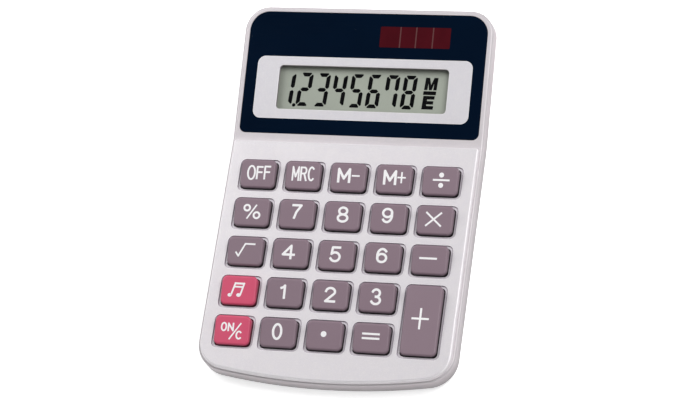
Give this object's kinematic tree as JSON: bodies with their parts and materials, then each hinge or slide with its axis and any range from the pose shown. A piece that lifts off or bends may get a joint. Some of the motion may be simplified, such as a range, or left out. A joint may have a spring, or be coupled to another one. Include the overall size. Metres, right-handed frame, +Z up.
{
  "type": "electronic calculator",
  "caption": "Small desk calculator: silver case with a raised keypad plate, press keys, and a tilted head with a display, a navy panel and a solar strip.",
  "frame": {"origin": "on the desk, at the centre of the object's box seen from above", "axes": "+Z up, +Y from the keypad's front edge to the display head, +X to the right of a person who reads the keys"},
  "size_m": [0.097, 0.1468, 0.0295],
  "materials": {
    "case_silver": "silver pearl, fine metallic flake, satin gloss",
    "case_grey": "silver grey, fine spark texture",
    "panel_navy": "navy, high gloss",
    "bezel_silver": "silver pearl, satin",
    "window_clear": "clear acrylic, polished",
    "display_grey_green": "grey-green liquid crystal glass, satin",
    "ribbon_film": "amber film",
    "solar_maroon": "dark maroon, glossy",
    "solar_cell": "amorphous cell, glossy",
    "board_green": "green laminate",
    "chip_black": "black potting resin",
    "capacitor_sleeve": "dark printed sleeve",
    "sounder_brass": "brass disc with white ceramic",
    "mat_rubber": "soft grey silicone",
    "battery_can": "printed metal can",
    "contact_spring": "nickel-plated spring strip",
    "screw_steel": "zinc-plated",
    "key_pink": "rose pink, satin, white legend",
    "key_mauve": "mauve grey, satin, white legend",
    "foot_rubber": "soft black",
    "wire_red": "red insulation",
    "wire_black": "black insulation",
    "legend_white": "white print on the key caps",
    "display_dark": "dark segments of the display"
  },
  "bodies": {
    "case": {"battery": "battery_can", "battery_wire_minus": "wire_black", "battery_wire_plus": "wire_red", "board_screws": "screw_steel", "capacitor": "capacitor_sleeve", "case_screws": "screw_steel", "circuit_board": "board_green", "contact_minus": "contact_spring", "contact_plus": "contact_spring", "display_bezel": "bezel_silver", "display_glass": "display_grey_green", "display_panel": "panel_navy", "display_ribbon": "ribbon_film", "display_window": "window_clear", "foot_front_left": "foot_rubber", "foot_front_right": "foot_rubber", "foot_rear_left": "foot_rubber", "foot_rear_right": "foot_rubber", "key_mat": "mat_rubber", "keypad_plate": "case_silver", "lower_case": "case_grey", "potted_chip": "chip_black", "solar_cell": "solar_cell", "solar_window": "solar_maroon", "solar_wire_minus": "wire_black", "solar_wire_plus": "wire_red", "sounder": "sounder_brass", "sounder_wire_minus": "wire_black", "sounder_wire_plus": "wire_red", "upper_case": "case_silver"},
    "key_0": {"key_0": "key_mauve"},
    "key_1": {"key_1": "key_mauve"},
    "key_2": {"key_2": "key_mauve"},
    "key_3": {"key_3": "key_mauve"},
    "key_4": {"key_4": "key_mauve"},
    "key_5": {"key_5": "key_mauve"},
    "key_6": {"key_6": "key_mauve"},
    "key_7": {"key_7": "key_mauve"},
    "key_8": {"key_8": "key_mauve"},
    "key_9": {"key_9": "key_mauve"},
    "key_divide": {"key_divide": "key_mauve"},
    "key_equals": {"key_equals": "key_mauve"},
    "key_memory_minus": {"key_memory_minus": "key_mauve"},
    "key_memory_plus": {"key_memory_plus": "key_mauve"},
    "key_memory_recall": {"key_memory_recall": "key_mauve"},
    "key_minus": {"key_minus": "key_mauve"},
    "key_multiply": {"key_multiply": "key_mauve"},
    "key_off": {"key_off": "key_mauve"},
    "key_on_clear": {"key_on_clear": "key_pink"},
    "key_percent": {"key_percent": "key_mauve"},
    "key_plus": {"key_plus": "key_mauve"},
    "key_point": {"key_point": "key_mauve"},
    "key_root": {"key_root": "key_mauve"},
    "key_tone": {"key_tone": "key_pink"},
    "battery_cover": {"battery_cover": "case_grey"}
  },
  "joints": [
    {"name": "key_0_press", "type": "slide", "parent": "case", "child": "key_0", "axis": [0, 0.0872, -0.9962], "range_m": [0, 0.0012], "stiffness_N_per_m": 500, "deforming": ["key_mat"]},
    {"name": "key_1_press", "type": "slide", "parent": "case", "child": "key_1", "axis": [0, 0.0872, -0.9962], "range_m": [0, 0.0012], "stiffness_N_per_m": 500, "deforming": ["key_mat"]},
    {"name": "key_2_press", "type": "slide", "parent": "case", "child": "key_2", "axis": [0, 0.0872, -0.9962], "range_m": [0, 0.0012], "stiffness_N_per_m": 500, "deforming": ["key_mat"]},
    {"name": "key_3_press", "type": "slide", "parent": "case", "child": "key_3", "axis": [0, 0.0872, -0.9962], "range_m": [0, 0.0012], "stiffness_N_per_m": 500, "deforming": ["key_mat"]},
    {"name": "key_4_press", "type": "slide", "parent": "case", "child": "key_4", "axis": [0, 0.0872, -0.9962], "range_m": [0, 0.0012], "stiffness_N_per_m": 500, "deforming": ["key_mat"]},
    {"name": "key_5_press", "type": "slide", "parent": "case", "child": "key_5", "axis": [0, 0.0872, -0.9962], "range_m": [0, 0.0012], "stiffness_N_per_m": 500, "deforming": ["key_mat"]},
    {"name": "key_6_press", "type": "slide", "parent": "case", "child": "key_6", "axis": [0, 0.0872, -0.9962], "range_m": [0, 0.0012], "stiffness_N_per_m": 500, "deforming": ["key_mat"]},
    {"name": "key_7_press", "type": "slide", "parent": "case", "child": "key_7", "axis": [0, 0.0872, -0.9962], "range_m": [0, 0.0012], "stiffness_N_per_m": 500, "deforming": ["key_mat"]},
    {"name": "key_8_press", "type": "slide", "parent": "case", "child": "key_8", "axis": [0, 0.0872, -0.9962], "range_m": [0, 0.0012], "stiffness_N_per_m": 500, "deforming": ["key_mat"]},
    {"name": "key_9_press", "type": "slide", "parent": "case", "child": "key_9", "axis": [0, 0.0872, -0.9962], "range_m": [0, 0.0012], "stiffness_N_per_m": 500, "deforming": ["key_mat"]},
    {"name": "key_divide_press", "type": "slide", "parent": "case", "child": "key_divide", "axis": [0, 0.0872, -0.9962], "range_m": [0, 0.0012], "stiffness_N_per_m": 500, "deforming": ["key_mat"]},
    {"name": "key_equals_press", "type": "slide", "parent": "case", "child": "key_equals", "axis": [0, 0.0872, -0.9962], "range_m": [0, 0.0012], "stiffness_N_per_m": 500, "deforming": ["key_mat"]},
    {"name": "key_memory_minus_press", "type": "slide", "parent": "case", "child": "key_memory_minus", "axis": [0, 0.0872, -0.9962], "range_m": [0, 0.0012], "stiffness_N_per_m": 500, "deforming": ["key_mat"]},
    {"name": "key_memory_plus_press", "type": "slide", "parent": "case", "child": "key_memory_plus", "axis": [0, 0.0872, -0.9962], "range_m": [0, 0.0012], "stiffness_N_per_m": 500, "deforming": ["key_mat"]},
    {"name": "key_memory_recall_press", "type": "slide", "parent": "case", "child": "key_memory_recall", "axis": [0, 0.0872, -0.9962], "range_m": [0, 0.0012], "stiffness_N_per_m": 500, "deforming": ["key_mat"]},
    {"name": "key_minus_press", "type": "slide", "parent": "case", "child": "key_minus", "axis": [0, 0.0872, -0.9962], "range_m": [0, 0.0012], "stiffness_N_per_m": 500, "deforming": ["key_mat"]},
    {"name": "key_multiply_press", "type": "slide", "parent": "case", "child": "key_multiply", "axis": [0, 0.0872, -0.9962], "range_m": [0, 0.0012], "stiffness_N_per_m": 500, "deforming": ["key_mat"]},
    {"name": "key_off_press", "type": "slide", "parent": "case", "child": "key_off", "axis": [0, 0.0872, -0.9962], "range_m": [0, 0.0012], "stiffness_N_per_m": 500, "deforming": ["key_mat"]},
    {"name": "key_on_clear_press", "type": "slide", "parent": "case", "child": "key_on_clear", "axis": [0, 0.0872, -0.9962], "range_m": [0, 0.0012], "stiffness_N_per_m": 500, "deforming": ["key_mat"]},
    {"name": "key_percent_press", "type": "slide", "parent": "case", "child": "key_percent", "axis": [0, 0.0872, -0.9962], "range_m": [0, 0.0012], "stiffness_N_per_m": 500, "deforming": ["key_mat"]},
    {"name": "key_plus_press", "type": "slide", "parent": "case", "child": "key_plus", "axis": [0, 0.0872, -0.9962], "range_m": [0, 0.0012], "stiffness_N_per_m": 500, "deforming": ["key_mat"]},
    {"name": "key_point_press", "type": "slide", "parent": "case", "child": "key_point", "axis": [0, 0.0872, -0.9962], "range_m": [0, 0.0012], "stiffness_N_per_m": 500, "deforming": ["key_mat"]},
    {"name": "key_root_press", "type": "slide", "parent": "case", "child": "key_root", "axis": [0, 0.0872, -0.9962], "range_m": [0, 0.0012], "stiffness_N_per_m": 500, "deforming": ["key_mat"]},
    {"name": "key_tone_press", "type": "slide", "parent": "case", "child": "key_tone", "axis": [0, 0.0872, -0.9962], "range_m": [0, 0.0012], "stiffness_N_per_m": 500, "deforming": ["key_mat"]},
    {"name": "battery_cover_slide", "type": "slide", "parent": "case", "child": "battery_cover", "axis": [0, 1, 0], "range_m": [0, 0.025]}
  ]
}
